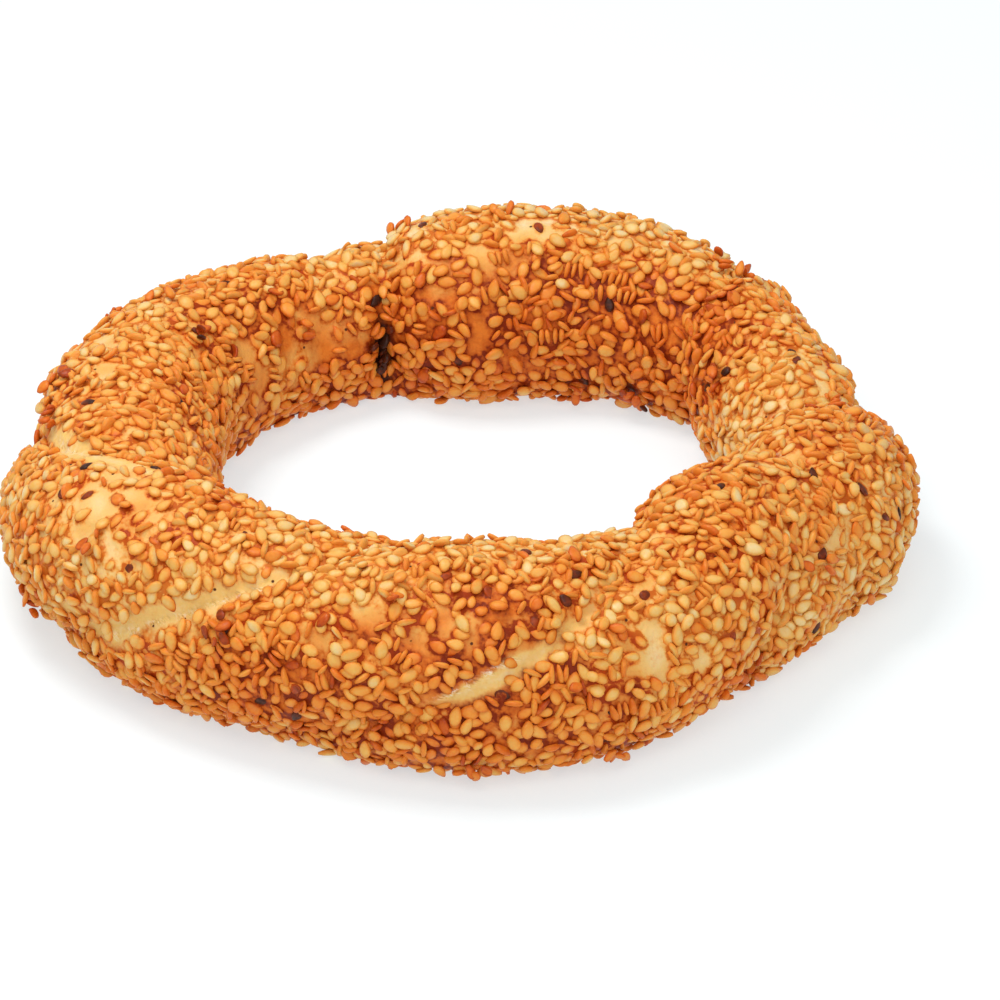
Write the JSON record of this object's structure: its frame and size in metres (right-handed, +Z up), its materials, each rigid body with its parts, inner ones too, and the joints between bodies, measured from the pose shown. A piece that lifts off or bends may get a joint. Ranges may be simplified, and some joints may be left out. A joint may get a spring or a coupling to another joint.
{
  "type": "simit",
  "caption": "Round twisted bread ring with an open middle, a pinched seam, a flat underside and a browned crust coated in sesame.",
  "frame": {"origin": "centre of the ring's bounding box, at the level of the flat underside it was baked on", "axes": "+Z up, out of the tray side through the top of the ring; +X to the right and +Y away from the side with the widest lobe"},
  "size_m": [0.1484, 0.1502, 0.0338],
  "materials": {
    "crust": "baked golden brown crust, satin, paler in the grooves of the twist",
    "sesame": "toasted sesame seeds, pale gold to deep orange brown, slightly glossy"
  },
  "bodies": {
    "root": {"simit": "crust"}
  },
  "joints": []
}
